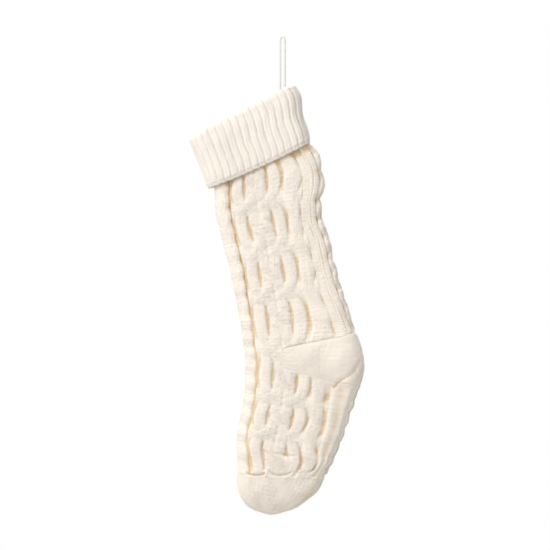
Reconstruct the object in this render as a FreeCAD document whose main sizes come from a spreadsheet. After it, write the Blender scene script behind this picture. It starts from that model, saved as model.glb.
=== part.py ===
"""A knitted hanging stocking: ribbed turned-down cuff, cable-knit leg and foot, plain heel
and toe, and a cord loop.  Millimetres, +Z up, +X towards the heel, -Y is the front.
The origin is the point where a hook carries the loop."""
import FreeCAD, Part
import Sketcher
import math
import os

os.makedirs("parts", exist_ok=True)
doc = FreeCAD.newDocument("HangingStocking")

# ---------------------------------------------------------------- driving dimensions

# Cross-sections of the fabric tube, mouth to toe: the outside of the leg and foot fabric,
# and inside the cuff the outside of the lining.  Tilt lifts the heel side of the section.
SECTIONS = {
    "mouth": {"x": -45.5, "z": -91.5, "tilt": 27, "half_width": 67, "half_depth": 16},
    "hem": {"x": -25, "z": -155, "tilt": 24.5, "half_width": 63, "half_depth": 16.5},
    "calf": {"x": -17, "z": -200, "tilt": 11, "half_width": 64.5, "half_depth": 17},
    "shin": {"x": -6, "z": -250, "tilt": 12, "half_width": 62.5, "half_depth": 16.5},
    "shank": {"x": 5, "z": -298, "tilt": 12, "half_width": 62.5, "half_depth": 17},
    "ankle": {"x": 17, "z": -345, "tilt": 8, "half_width": 66, "half_depth": 19},
    "heel": {"x": 26, "z": -392, "tilt": -1, "half_width": 71, "half_depth": 22},
    "instep": {"x": 18, "z": -441, "tilt": -6.5, "half_width": 65, "half_depth": 22},
    "ball": {"x": 5, "z": -490, "tilt": -9.5, "half_width": 60, "half_depth": 21},
    "toe_root": {"x": -3, "z": -528, "tilt": -7, "half_width": 49.5, "half_depth": 18},
    "toe_curve": {"x": -8.5, "z": -553, "tilt": -2, "half_width": 37, "half_depth": 14},
    "toe_tip": {"x": -10, "z": -571, "tilt": 0, "half_width": 18, "half_depth": 8},
}

SIZES = {
    "fabric_wall": 5,        # cable knit of the leg and foot
    "lining_wall": 4,        # inner layer of the ribbed cuff
    "cuff_wall": 4.5,        # outer layer of the ribbed cuff
    "cuff_gap": 0.5,         # between the two layers of the cuff
    "hem_lift": 1.5,         # the cuff's hem hangs this far short of the lining's edge
    "lip_height": 5,         # rolled fold above the edge of the lining
    "lip_round": 3,          # how far the fold narrows towards its top
    "seam_width": 3,         # linking seam between the front and back panels
    "seam_turn": 7,          # the tube hangs turned, so its seams lie this far off the middle
    "ankle_level": -340,     # where the foot folds against the leg
    "ankle_gap": 0.6,        # room between leg and foot at that fold
    "toe_level": -527,       # where the plain toe starts
    "seam_gap": 0.02,        # keeps neighbouring knitted pieces apart
    "cord_diameter": 2.8,
    "eye_radius": 2.8,       # centreline radius of the loop where it goes round the hook
    "eye_length": 12,        # from the hook down to where the loop can twist
    "twist_gap": 0.4,
    "knot_level": -67,
    "knot_diameter": 7.2,
    "knot_gap": 0.4,         # between the knot and the strands above it
    "stitch_width": 3,
    "stitch_height": 2,
    "heel_point_x": 0,       # inner point of the heel wedge
    "heel_point_high": -373,
    "heel_point_low": -394,
    "heel_bend_x": 22,
    "heel_bend_low": -402,
    "heel_back_x": 115,      # past the heel's outer edge
    "heel_back_high": -332,
    "heel_back_low": -423,
    "reach": 300,            # half the width of the blocks that divide the fabric
    "bottom": -620,          # a level below the toe
}


def make_sheet():
    """The spreadsheet that every piece is bound to."""
    sheet = doc.addObject("Spreadsheet::Sheet", "Sizes")
    values = dict(SIZES)
    for section, measures in SECTIONS.items():
        for measure, value in measures.items():
            values[section + "_" + measure] = value
    for row, (alias, value) in enumerate(values.items(), start=1):
        sheet.set("A" + str(row), alias)
        sheet.set("B" + str(row), str(value))
        sheet.setAlias("B" + str(row), alias)
    doc.recompute()
    return sheet


def bind(item, rules):
    """Bind properties of an object to the spreadsheet."""
    for prop, rule in rules.items():
        item.setExpression(prop, rule)
    return item


# ---------------------------------------------------------------- shapes used many times

def oval(name, section, spread="0", rise="0"):
    """A flattened oval section of the tube: two straight faces joined by half rounds.

    It is wider all round by spread, and moved up along the tube by rise.
    """
    radius = SECTIONS[section]["half_depth"]
    reach = SECTIONS[section]["half_width"] - radius
    up = FreeCAD.Vector(0, 0, 1)
    right = Part.Circle(FreeCAD.Vector(reach, 0, 0), up, radius)
    left = Part.Circle(FreeCAD.Vector(-reach, 0, 0), up, radius)
    quarter = math.pi / 2
    sketch = doc.addObject("Sketcher::SketchObject", name)
    sketch.addGeometry([
        Part.LineSegment(FreeCAD.Vector(-reach, -radius, 0), FreeCAD.Vector(reach, -radius, 0)),
        Part.ArcOfCircle(right, -quarter, quarter),
        Part.LineSegment(FreeCAD.Vector(reach, radius, 0), FreeCAD.Vector(-reach, radius, 0)),
        Part.ArcOfCircle(left, quarter, 3 * quarter),
    ], False)
    for edge in range(4):
        sketch.addConstraint(Sketcher.Constraint("Tangent", edge, 2, (edge + 1) % 4, 1))
    sketch.addConstraint(Sketcher.Constraint("Horizontal", 0))
    for end in (1, 3):
        sketch.addConstraint(Sketcher.Constraint("PointOnObject", end, 3, -1))
    right_end = sketch.addConstraint(Sketcher.Constraint("DistanceX", -1, 1, 1, 3, reach))
    left_end = sketch.addConstraint(Sketcher.Constraint("DistanceX", 3, 3, -1, 1, reach))
    round_end = sketch.addConstraint(Sketcher.Constraint("Radius", 1, radius))
    sketch.Placement = FreeCAD.Placement(FreeCAD.Vector(), FreeCAD.Rotation(FreeCAD.Vector(0, 1, 0), -1))
    at = "Sizes." + section
    straight = at + "_half_width - " + at + "_half_depth"
    return bind(sketch, {
        "Constraints[%d]" % right_end: straight,
        "Constraints[%d]" % left_end: straight,
        "Constraints[%d]" % round_end: at + "_half_depth + " + spread,
        "Placement.Base.x": at + "_x - (" + rise + ") * sin(" + at + "_tilt)",
        "Placement.Base.z": at + "_z + (" + rise + ") * cos(" + at + "_tilt)",
        "Placement.Rotation.Angle": "-" + at + "_tilt * 1deg",
    })


def loft(name, rings, straight=False):
    """A solid through a row of ovals, smooth or with straight sides between them."""
    solid = doc.addObject("Part::Loft", name)
    solid.Sections = rings
    solid.Solid = True
    solid.Ruled = straight
    return solid


def cut(name, base, tool):
    """Base less tool."""
    result = doc.addObject("Part::Cut", name)
    result.Base = base
    result.Tool = tool
    return result


def common(name, base, tool):
    """The part of base inside tool."""
    result = doc.addObject("Part::Common", name)
    result.Base = base
    result.Tool = tool
    return result


def block(name, x_range, y_range, z_range):
    """A box between the given expressions."""
    box = doc.addObject("Part::Box", name)
    rules = {}
    for axis, size, (low, high) in (
        ("x", "Length", x_range),
        ("y", "Width", y_range),
        ("z", "Height", z_range),
    ):
        rules["Placement.Base." + axis] = low
        rules[size] = "(" + high + ") - (" + low + ")"
    return bind(box, rules)


WIDE = ("-Sizes.reach", "Sizes.reach")
LEFT = ("-Sizes.reach", "0")
RIGHT = ("0", "Sizes.reach")
TALL = ("Sizes.bottom", "0")
EDGE = "(Sizes.seam_width / 2 + Sizes.seam_gap)"
HALF = "Sizes.seam_width / 2"


def in_front(seam):
    """The depth range in front of a seam at the given depth."""
    return ("-Sizes.reach", seam + " - " + EDGE)


def behind(seam):
    """The depth range behind a seam at the given depth."""
    return (seam + " + " + EDGE, "Sizes.reach")


def along(seam):
    """The depth range of the seam itself."""
    return (seam + " - " + HALF, seam + " + " + HALF)


MIDDLE = "0"
HEEL_SEAM = "(-Sizes.seam_turn)"
INSTEP_SEAM = "Sizes.seam_turn"


def piece(label, shell, *blocks):
    """One knitted piece: the part of a shell inside one block, or two side by side."""
    regions = [block(label + "_block" + str(index), *ranges) for index, ranges in enumerate(blocks)]
    region = regions[0]
    if len(regions) > 1:
        region = doc.addObject("Part::MultiFuse", label + "_region")
        region.Shapes = regions
    result = common(label, shell, region)
    result.Label = label
    return result


def panels(front, back, shell, height):
    """Front and back panels that meet at the turned seams on either side."""
    return [
        piece(front, shell, (LEFT, in_front(INSTEP_SEAM), height), (RIGHT, in_front(HEEL_SEAM), height)),
        piece(back, shell, (LEFT, behind(INSTEP_SEAM), height), (RIGHT, behind(HEEL_SEAM), height)),
    ]


# ---------------------------------------------------------------- the fabric tube

def make_fabric_shell():
    """The whole leg, foot and toe as one hollow form, open at the hem of the cuff."""
    names = [name for name in SECTIONS if name != "mouth"]
    outer = loft("fabric_outside", [oval("outside_" + name, name) for name in names])
    hollow = []
    for name in names:
        rise = "Sizes.fabric_wall" if name in ("hem", "toe_tip") else "0"
        hollow.append(oval("inside_" + name, name, "(-Sizes.fabric_wall)", rise))
    inner = loft("fabric_inside", hollow)
    return cut("fabric_shell", outer, inner)


def make_heel_block():
    """The wedge of plain knitting that turns the heel, as a block through the stocking."""
    body = doc.addObject("PartDesign::Body", "heel_block")
    plane = [face for face in body.Origin.OriginFeatures if face.Role == "XZ_Plane"][0]
    sketch = body.newObject("Sketcher::SketchObject", "heel_outline")
    sketch.AttachmentSupport = (plane, [""])
    sketch.MapMode = "FlatFace"
    corners = (
        ("heel_point_x", "heel_point_low"),
        ("heel_bend_x", "heel_bend_low"),
        ("heel_back_x", "heel_back_low"),
        ("heel_back_x", "heel_back_high"),
        ("heel_point_x", "heel_point_high"),
    )
    points = [FreeCAD.Vector(SIZES[x], SIZES[z], 0) for x, z in corners]
    count = len(points)
    for index in range(count):
        sketch.addGeometry(Part.LineSegment(points[index], points[(index + 1) % count]), False)
    for index in range(count):
        sketch.addConstraint(Sketcher.Constraint("Coincident", index, 2, (index + 1) % count, 1))
    for index, names in enumerate(corners):
        for kind, name in zip(("DistanceX", "DistanceY"), names):
            place = sketch.addConstraint(Sketcher.Constraint(kind, -1, 1, index, 1, SIZES[name]))
            sketch.setExpression("Constraints[" + str(place) + "]", "Sizes." + name)
    pad = body.newObject("PartDesign::Pad", "heel_pad")
    pad.Profile = sketch
    pad.Midplane = True
    pad.setExpression("Length", "Sizes.reach")
    return body


def make_leg(shell):
    """Front and back panels of the leg and the two seams that link them."""
    height = ("Sizes.ankle_level", "0")
    return panels("leg_front", "leg_back", shell, height) + [
        piece("leg_seam_instep", shell, (LEFT, along(INSTEP_SEAM), height)),
        piece("leg_seam_heel", shell, (RIGHT, along(HEEL_SEAM), height)),
    ]


def make_foot(shell):
    """Front and back panels of the foot below the ankle fold, without the heel."""
    height = ("Sizes.toe_level", "Sizes.ankle_level - Sizes.ankle_gap")
    below_heel = ("Sizes.toe_level", "Sizes.heel_bend_low")
    return panels("foot_front", "foot_back", shell, height) + [
        piece("foot_seam_instep", shell, (LEFT, along(INSTEP_SEAM), height)),
        piece("foot_seam_sole", shell, (RIGHT, along(HEEL_SEAM), below_heel)),
    ]


def make_heel(shell):
    """The plain heel, front and back, with the seam that runs over it."""
    height = ("Sizes.bottom", "Sizes.ankle_level - Sizes.ankle_gap")
    return [
        piece("heel_front", shell, (RIGHT, in_front(HEEL_SEAM), height)),
        piece("heel_back", shell, (RIGHT, behind(HEEL_SEAM), height)),
        piece("heel_seam", shell, (RIGHT, along(HEEL_SEAM), height)),
    ]


def make_toe(shell):
    """The plain toe, front and back, with the seam that closes its edge."""
    height = ("Sizes.bottom", "Sizes.toe_level - Sizes.seam_gap")
    return [
        piece("toe_front", shell, (WIDE, in_front(MIDDLE), height)),
        piece("toe_back", shell, (WIDE, behind(MIDDLE), height)),
        piece("toe_seam", shell, (WIDE, along(MIDDLE), height)),
    ]


# ---------------------------------------------------------------- the cuff

def make_lining():
    """The inner layer of the ribbed cuff, from the fold down to the top of the leg."""
    outer = loft("lining_outside", [
        oval("lining_out_mouth", "mouth"),
        oval("lining_out_hem", "hem"),
    ], True)
    spread = "(-Sizes.lining_wall)"
    inner = loft("lining_inside", [
        oval("lining_in_mouth", "mouth", spread, "Sizes.lip_height"),
        oval("lining_in_hem", "hem", spread, "-Sizes.lip_height"),
    ], True)
    shell = cut("lining_shell", outer, inner)
    return [
        piece("cuff_lining_front", shell, (WIDE, ("-Sizes.reach", "-Sizes.seam_gap"), TALL)),
        piece("cuff_lining_back", shell, (WIDE, ("Sizes.seam_gap", "Sizes.reach"), TALL)),
    ]


def make_cuff():
    """The turned-down outer layer of the cuff with the rolled fold over the lining's edge."""
    gap = "Sizes.cuff_gap"
    full = "(Sizes.cuff_gap + Sizes.cuff_wall)"
    outer = loft("cuff_outside", [
        oval("cuff_out_hem", "hem", full, "Sizes.hem_lift"),
        oval("cuff_out_mouth", "mouth", full),
        oval("cuff_out_lip", "mouth", full + " - Sizes.lip_round / 3", "Sizes.lip_height * 0.6"),
        oval("cuff_out_top", "mouth", full + " - Sizes.lip_round", "Sizes.lip_height"),
    ], True)
    pocket = loft("cuff_pocket", [
        oval("cuff_in_hem", "hem", gap, "-Sizes.lip_height"),
        oval("cuff_in_mouth", "mouth", gap, gap),
    ], True)
    edge = "(-Sizes.lining_wall)"
    hole = loft("cuff_hole", [
        oval("cuff_hole_low", "mouth", edge, "-Sizes.lip_height"),
        oval("cuff_hole_mouth", "mouth", edge, "0"),
        oval("cuff_hole_lip", "mouth", edge + " + Sizes.lip_round / 3", "Sizes.lip_height * 0.6"),
        oval("cuff_hole_top", "mouth", edge + " + Sizes.lip_round", "Sizes.lip_height"),
    ], True)
    shell = cut("cuff_shell", cut("cuff_folded", outer, pocket), hole)
    return [
        piece("cuff_front", shell, (WIDE, in_front(MIDDLE), TALL)),
        piece("cuff_back", shell, (WIDE, behind(MIDDLE), TALL)),
        piece("cuff_seam_instep", shell, (("-Sizes.reach", "Sizes.mouth_x"), along(MIDDLE), TALL)),
        piece("cuff_seam_heel", shell, (("Sizes.mouth_x", "Sizes.reach"), along(MIDDLE), TALL)),
    ]


# ---------------------------------------------------------------- the hanging loop

def strand(name, side, low, high):
    """A straight stretch of cord, on the left (-1) or the right (1) of the loop."""
    rod = doc.addObject("Part::Cylinder", name)
    return bind(rod, {
        "Radius": "Sizes.cord_diameter / 2",
        "Height": "(" + high + ") - (" + low + ")",
        "Placement.Base.x": str(side) + " * Sizes.eye_radius",
        "Placement.Base.z": low,
    })


ARC_LEVEL = "(Sizes.cord_diameter / 2 - Sizes.eye_radius)"
TWIST_LEVEL = "(-Sizes.eye_length)"


def make_eye():
    """The cord where it goes round the hook: half a ring and two short legs."""
    bend = doc.addObject("Part::Torus", "eye_bend")
    bend.Placement = FreeCAD.Placement(FreeCAD.Vector(), FreeCAD.Rotation(FreeCAD.Vector(1, 0, 0), 90))
    bend.Angle3 = 180
    bind(bend, {
        "Radius1": "Sizes.eye_radius",
        "Radius2": "Sizes.cord_diameter / 2",
        "Placement.Base.z": ARC_LEVEL,
    })
    eye = doc.addObject("Part::MultiFuse", "loop_eye")
    eye.Shapes = [
        bend,
        strand("eye_leg_left", -1, TWIST_LEVEL, ARC_LEVEL),
        strand("eye_leg_right", 1, TWIST_LEVEL, ARC_LEVEL),
    ]
    eye.Label = "loop_eye"
    return eye


def make_loop():
    """The taut cord loop: eye, two strands, and the knot that is sewn inside the mouth."""
    top = TWIST_LEVEL + " - Sizes.twist_gap"
    low = "Sizes.knot_level + Sizes.knot_diameter / 2 + Sizes.knot_gap"
    pieces = [make_eye()]
    for name, side in (("loop_strand_left", -1), ("loop_strand_right", 1)):
        rod = strand(name, side, low, top)
        rod.Label = name
        pieces.append(rod)
    knot = doc.addObject("Part::Sphere", "loop_knot")
    knot.Label = "loop_knot"
    bind(knot, {"Radius": "Sizes.knot_diameter / 2", "Placement.Base.z": "Sizes.knot_level"})
    pieces.append(knot)
    return pieces


def make_stitch(lining_back):
    """The bar of thread between the knot and the back of the lining."""
    bar = block(
        "stitch_bar",
        ("-Sizes.stitch_width / 2", "Sizes.stitch_width / 2"),
        ("Sizes.knot_diameter / 2 + Sizes.knot_gap", "Sizes.mouth_half_depth"),
        ("Sizes.knot_level - Sizes.stitch_height / 2", "Sizes.knot_level + Sizes.stitch_height / 2"),
    )
    trimmed = cut("stitch_trimmed", bar, lining_back)
    inside = doc.getObject("lining_inside")
    stitch = common("loop_stitch", trimmed, inside)
    stitch.Label = "loop_stitch"
    return stitch


# ---------------------------------------------------------------- the whole stocking

def check(pieces):
    """Stop if any object failed or any piece is empty, broken or not one solid."""
    for item in doc.Objects:
        states = [state for state in item.State if state in ("Invalid", "Error")]
        if states:
            raise RuntimeError(item.Name + " is " + states[0])
    for item in pieces:
        shape = item.Shape
        if shape.isNull() or not shape.isValid() or len(shape.Solids) != 1:
            raise RuntimeError("%s is not one sound solid (%d)" % (item.Label, len(shape.Solids)))


def report_cord(pieces):
    """Print the loop's bend radius and compare its volume with its section times its length."""
    radius = SIZES["cord_diameter"] / 2
    arc_level = radius - SIZES["eye_radius"]
    low = SIZES["knot_level"] + SIZES["knot_diameter"] / 2 + SIZES["knot_gap"]
    straight = 2 * (arc_level - low - SIZES["twist_gap"])
    length = math.pi * SIZES["eye_radius"] + straight
    volume = sum(item.Shape.Volume for item in pieces if item.Label != "loop_knot")
    print("cord: bend radius %.2f, length %.1f" % (SIZES["eye_radius"], length))
    print("cord: volume %.1f, section x length %.1f" % (volume, math.pi * radius ** 2 * length))


def report_balance(pieces):
    """Print how far the hanging fabric's centre of mass lies from the line of the loop."""
    mass = sum(item.Shape.Volume for item in pieces)
    for name, axis in (("x", 0), ("y", 1), ("z", 2)):
        moment = sum(item.Shape.Volume * item.Shape.Solids[0].CenterOfMass[axis] for item in pieces)
        print("centre of mass %s %.2f" % (name, moment / mass))


def main():
    make_sheet()
    shell = make_fabric_shell()
    heel_block = make_heel_block()
    heel_shell = common("heel_shell", shell, heel_block)
    foot_shell = cut("foot_shell", shell, heel_block)
    lining = make_lining()
    fabric = make_leg(shell) + make_foot(foot_shell) + make_heel(heel_shell) + make_toe(shell)
    fabric += make_cuff() + lining
    loop = make_loop()
    stitch = make_stitch(lining[1])
    doc.recompute()
    pieces = fabric + loop + [stitch]
    check(pieces)
    for item in pieces:
        item.Shape.exportStep("parts/" + item.Label + ".step")
        print("%-20s %9.0f mm3" % (item.Label, item.Shape.Volume))
    report_cord(loop)
    report_balance(fabric)


main()
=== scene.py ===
import math

import bpy
import numpy as np
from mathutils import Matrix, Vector


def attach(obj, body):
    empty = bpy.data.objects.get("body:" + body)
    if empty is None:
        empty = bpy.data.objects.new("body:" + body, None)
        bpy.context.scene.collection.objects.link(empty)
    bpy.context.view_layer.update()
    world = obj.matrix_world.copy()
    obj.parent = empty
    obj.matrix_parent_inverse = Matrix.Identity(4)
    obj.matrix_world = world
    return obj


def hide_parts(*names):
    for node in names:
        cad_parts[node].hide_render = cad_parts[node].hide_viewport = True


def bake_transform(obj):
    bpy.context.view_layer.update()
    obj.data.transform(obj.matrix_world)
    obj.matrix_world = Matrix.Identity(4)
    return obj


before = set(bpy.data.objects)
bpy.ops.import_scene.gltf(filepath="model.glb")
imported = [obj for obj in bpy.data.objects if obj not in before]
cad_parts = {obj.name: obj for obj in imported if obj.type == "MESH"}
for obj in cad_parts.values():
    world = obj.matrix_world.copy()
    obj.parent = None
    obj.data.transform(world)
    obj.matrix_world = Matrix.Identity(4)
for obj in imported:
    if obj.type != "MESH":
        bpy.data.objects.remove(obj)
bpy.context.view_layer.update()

# A knitted hanging stocking.  The fabric is worked out in millimetres and scaled at the end.
# +X is the heel side, -Y the front, +Z up.  On the fabric, "across" runs round the tube from
# the middle of the front, and "down" runs from the mouth to the toe along the middle line.
MM = 0.001
rng = np.random.default_rng(7)

# ---------------- sizes of the CAD model

# Middle line and outline of the tube: x, z, tilt in degrees, half width, half depth.
SECTIONS = {
    "mouth": (-45.5, -91.5, 27, 67, 16),
    "hem": (-25, -155, 24.5, 63, 16.5),
    "calf": (-17, -200, 11, 64.5, 17),
    "shin": (-6, -250, 12, 62.5, 16.5),
    "shank": (5, -298, 12, 62.5, 17),
    "ankle": (17, -345, 8, 66, 19),
    "heel": (26, -392, -1, 71, 22),
    "instep": (18, -441, -6.5, 65, 22),
    "ball": (5, -490, -9.5, 60, 21),
    "toe_root": (-3, -528, -7, 50.5, 18),
}
TOE_END = (-16, -567.5)  # x and z of the lowest point of the toe's ground
ANKLE_LEVEL = -340
TOE_LEVEL = -527
HEEL_POINT = (0, -373, -394)  # x, upper and lower z of the blunt inner end of the heel
HEEL_TOP_SLOPE = 41 / 115  # the upper edge of the heel rises towards its back
HEEL_LOW_SLOPE = -21 / 93  # and the lower edge falls
HEEL_BEND = (22, -402)
HEEL_SAG = 6.0  # the upper edge hangs this much in its middle
HEEL_DROP = 9.0  # and this much at the heel-side edge
KNOT_LEVEL = -67

# ---------------- the knit

EDGE_RELIEF = 5.0  # how far the cables stand out from the ground at the edges
FACE_RELIEF = 8.0  # ... and, with the crown of the tube, on its flat faces
QUARTER = 63.9  # a quarter of the way round the leg
SEAM = 49.0  # the seam on the heel side, across from the front's middle
INSTEP_SEAM = -77.0  # the seam on the instep side, round the back of the edge
BACK_WIDTH = 4 * QUARTER - (SEAM - INSTEP_SEAM)
WALL = 1.6  # from the ground of the knit to its inside
PLAIN = 4.8  # height of the plain knit over the ground of the cables
CREST = 5.0  # ... of the plait
WEB = 4.68  # ... of the fabric between its strands
PURL = 3.3  # ... of the purl bands
STITCH = 3.3  # width of a stitch
ROW = 2.6  # height of a stitch
STITCH_DEPTH = 0.85  # how far the yarn stands out between stitches
CELL = 0.62  # spacing of the mesh
PLAIN_CELL = 0.8  # ... on the plain heel and toe
STEP = 4  # the inside face has one cell to this many outside


def smooth(x):
    """A smooth step from 0 at x = 0 up to 1 at x = 1."""
    x = np.clip(x, 0, 1)
    return x * x * (3 - 2 * x)


def hump(x):
    """A smooth hump: 1 at x = 0, and 0 beyond -1 and 1."""
    return np.clip(1 - x * x, 0, 1) ** 2


def bell(x, width):
    """A bell curve, 1 at x = 0."""
    return np.exp(-(x / width) ** 2)


def plateau(x, low, high, rise, fall):
    """A smooth step up that starts at low and one down that ends at high."""
    return smooth((x - low) / rise) * smooth((high - x) / fall)


def make_noise(count=9):
    """A smooth random function of two numbers, with features about one unit across."""
    angle = rng.uniform(0, 2 * math.pi, count)
    pitch = rng.uniform(0.6, 1.6, count)
    phase = rng.uniform(0, 2 * math.pi, count)

    def noise(x, y):
        total = 0
        for a, p, f in zip(angle, pitch, phase):
            total = total + np.sin(2 * math.pi * p * (x * math.cos(a) + y * math.sin(a)) / 2 + f)
        return total / math.sqrt(count)
    return noise


drift_across = make_noise()
drift_down = make_noise()
drift_height = make_noise()
drift_wrinkle = make_noise()
drift_stitch = make_noise()

# ---------------- the tube

STATIONS = np.array(list(SECTIONS.values()), float)
GAPS = np.hypot(np.diff(STATIONS[:, 0]), np.diff(STATIONS[:, 1]))
DOWN = np.concatenate([[0], np.cumsum(GAPS)])
HEM_DOWN = DOWN[1]
ROOT_DOWN = DOWN[-1]
TOE_LENGTH = math.hypot(TOE_END[0] - STATIONS[-1, 0], TOE_END[1] - STATIONS[-1, 1])
END_DOWN = ROOT_DOWN + TOE_LENGTH


def smooth_line(t, knots, values):
    """A smooth line through values at the knots, which may be rows of several numbers."""
    slope = np.gradient(values, knots, axis=0)
    k = np.clip(np.searchsorted(knots, t, side="right") - 1, 0, len(knots) - 2)
    gap = knots[k + 1] - knots[k]
    f = (t - knots[k]) / gap
    if values.ndim == 2:
        gap, f = gap[:, None], f[:, None]
    return (
        (1 + 2 * f) * (1 - f) ** 2 * values[k]
        + f * (1 - f) ** 2 * gap * slope[k]
        + f * f * (3 - 2 * f) * values[k + 1]
        + f * f * (f - 1) * gap * slope[k + 1]
    )


def curve(t, values):
    """A smooth curve through one value per station."""
    return smooth_line(np.clip(t, DOWN[0], DOWN[-1]), DOWN, values)


def swell(t):
    """How far the edge on the heel side stands out under the cuff, and in below that."""
    return 8.0 * hump((t - HEM_DOWN - 20) / 34) - 4.0 * hump((t - HEM_DOWN - 70) / 32)


def line(t):
    """Middle line, tilt and outline of the tube's ground at distances t down it."""
    x = curve(t, STATIONS[:, 0]) + swell(t) / 2
    z = curve(t, STATIONS[:, 1])
    tilt = np.radians(curve(t, STATIONS[:, 2]))
    width = curve(t, STATIONS[:, 3]) - EDGE_RELIEF + swell(t) / 2
    depth = curve(t, STATIONS[:, 4]) - FACE_RELIEF
    w = np.clip((t - ROOT_DOWN) / TOE_LENGTH, 0, 1)
    x = x + (TOE_END[0] - STATIONS[-1, 0]) * w
    z = z + (TOE_END[1] - STATIONS[-1, 1]) * w
    tilt = tilt * (1 - w)
    width = width * (1 - w ** 1.95) ** 0.62
    depth = depth * (1 - w ** 2.2) ** 0.5
    return x, z, tilt, width, np.maximum(depth, 0.02)


def crown(t):
    """How much deeper the tube is at its middle than at its edges."""
    foot = smooth((t - DOWN[4]) / (DOWN[6] - DOWN[4]))
    w = np.clip((t - ROOT_DOWN) / TOE_LENGTH, 0, 1)
    return (2.6 + 2.6 * foot) * (1 - w ** 2) ** 0.5


def arc(t):
    """Length all round the tube."""
    _, _, _, width, depth = line(t)
    return 4 * (width - depth) + 2 * math.pi * depth


# How far the pattern's columns lie towards the heel side at each station; less than 0 is
# towards the instep.
SHIFTS = np.array((0, 0, -0.8, -2.6, -4.6, -4.2, -1.6, -2.5, -4.2, -4.5), float)


def shift(t):
    """That shift at distances t."""
    return curve(t, SHIFTS)


def seam_at(t):
    """Distance of the heel-side seam from the tube's extreme edge."""
    foot = smooth((t - DOWN[5]) / (DOWN[7] - DOWN[5]))
    return (QUARTER - SEAM) * (1 - foot) + 9.0 * foot


def around(across, t):
    """Where a column of the pattern lies round the tube, in millimetres from the front's middle."""
    length = arc(t)
    toe = smooth((t - DOWN[8]) / (ROOT_DOWN - DOWN[8]))
    foot = smooth((t - DOWN[5]) / (DOWN[6] - DOWN[5]))
    fixed = (5.0 + 30.0 * foot) * (1 - toe) - 40.0 * toe
    room = length / 2 - seam_at(t) - (SEAM + QUARTER + shift(t))
    share = smooth((across - fixed) / (SEAM - fixed))
    front = -length / 4 + across + QUARTER + shift(t) + room * share
    seam = length / 4 - seam_at(t)
    instep = length * 0.75 + INSTEP_SEAM + QUARTER + shift(t)
    back = seam + (across - SEAM) * (instep - seam) / BACK_WIDTH
    even = across * length / (4 * QUARTER)
    evenly_round = smooth((t - DOWN[8] - 10) / (ROOT_DOWN - DOWN[8]))
    return np.where(across > SEAM, back, front) * (1 - evenly_round) + even * evenly_round


def round_flat_ring(s, straight, radius):
    """Where s lies round a flat ring with round ends: side, distance, turn, and how far past."""
    length = 4 * straight + 2 * math.pi * radius
    s = (s + length / 2) % length - length / 2
    side = np.sign(s)
    s = np.abs(s)
    turn = np.clip((s - straight) / radius, 0, math.pi)
    return side, s, turn, np.maximum(s - straight - math.pi * radius, 0)


def outline(s, t):
    """A point on the tube's ground: s round it from the front's middle, t down it."""
    x, z, tilt, width, depth = line(t)
    straight = np.maximum(width - depth, 0)
    side, s, turn, past = round_flat_ring(s, straight, depth)
    reach = side * (np.where(s < straight, s, straight + depth * np.sin(turn)) - past)
    rise = -depth * np.cos(turn)
    belly = crown(t) * np.clip(1 - (reach / np.maximum(width, 0.1)) ** 2, 0, 1)
    rise = rise - belly * np.cos(turn)
    return np.stack([x + reach * np.cos(tilt), rise, z + reach * np.sin(tilt)], -1)


FINE = np.linspace(DOWN[0], END_DOWN, 700)


def down_at(across, level):
    """How far down each column crosses a level: one z, or one for each column."""
    found = []
    for column, z in zip(across, np.broadcast_to(level, len(across))):
        heights = outline(around(np.full_like(FINE, column), FINE), FINE)[:, 2]
        found.append(np.interp(-z, -heights, FINE))
    return np.array(found)


def x_at(across, level):
    """The x of each column where it crosses a level, as in down_at."""
    t = down_at(across, level)
    return outline(around(across, t), t)[:, 0]

# ---------------- cables and stitches

# Levels on the middle line where the two middle strands of the plait cross.
PLAIT_ROWS = (-61, -115, -170, -224, -279, -330, -411, -457, -500, -545)
PLAIT_LEVELS = np.array(PLAIT_ROWS, float)
MIDDLE_Z = curve(FINE, STATIONS[:, 1])
PLAIT_DOWN = np.interp(-PLAIT_LEVELS, -MIDDLE_Z, FINE)


def plait_turns(across, t):
    """How many crossings of the middle strands lie above, counted smoothly."""
    skew = 0.26 * hump((t - DOWN[6]) / 60)
    lean = t - skew * (across + 24)
    return np.interp(lean, PLAIT_DOWN, np.arange(len(PLAIT_DOWN)))


# One strand's way through the plait: when it steps sideways, how far, and if it goes over.
INNER = 6.6
OUTER = 22.0
PATH_STEPS = (
    (0.0, 2 * INNER, 0.19, 1),
    (0.5, OUTER - INNER, 0.17, -1),
    (1.5, INNER - OUTER, 0.17, 1),
    (2.0, -2 * INNER, 0.19, -1),
    (2.5, INNER - OUTER, 0.17, 1),
    (3.5, OUTER - INNER, 0.17, -1),
)


def strand_path(turns):
    """Sideways place and lift of a strand after so many turns of the plait."""
    turns = (turns + 0.25) % 4 - 0.25
    place = -INNER
    lift = 0
    for when, size, half, over in PATH_STEPS:
        place = place + size * smooth((turns - when + half) / (2 * half))
        lift = lift + over * hump((turns - when) / (1.15 * half))
    return place, lift


def stitch_shape(column, row):
    """Place across a stitch, and the height of its V, from coordinates counted in stitches."""
    p = column - np.floor(column) - 0.5
    leg = 0.5 + 0.5 * np.cos(2 * math.pi * (row + 1.1 * np.abs(p)))
    return p, (0.45 + 0.55 * leg) * (1 - (2 * np.abs(p)) ** 4)


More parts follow.
